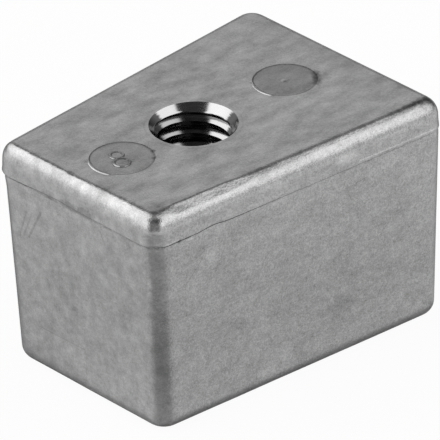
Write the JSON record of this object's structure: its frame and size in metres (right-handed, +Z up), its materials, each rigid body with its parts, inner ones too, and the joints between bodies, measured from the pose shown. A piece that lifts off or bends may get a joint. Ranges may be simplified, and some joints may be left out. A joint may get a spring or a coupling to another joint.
{
  "type": "sacrificial anode",
  "caption": "Die-cast tapered block anode with rounded edges and a tapped blind hole in its mounting face, flanked by round ejector pin marks.",
  "frame": {"origin": "centre of the bounding box on the resting face, the flat side opposite the tapped hole", "axes": "+X from the narrow end to the wide end, +Y across the block, +Z up out of the mounting face along the tapped hole"},
  "size_m": [0.0338, 0.0258, 0.0224],
  "materials": {
    "anode_casting": "bare as-cast grey skin, finely granular and semi-matt, with light scuffs; bright cut metal on the countersink and thread"
  },
  "bodies": {
    "root": {"anode_block": "anode_casting"}
  },
  "joints": []
}
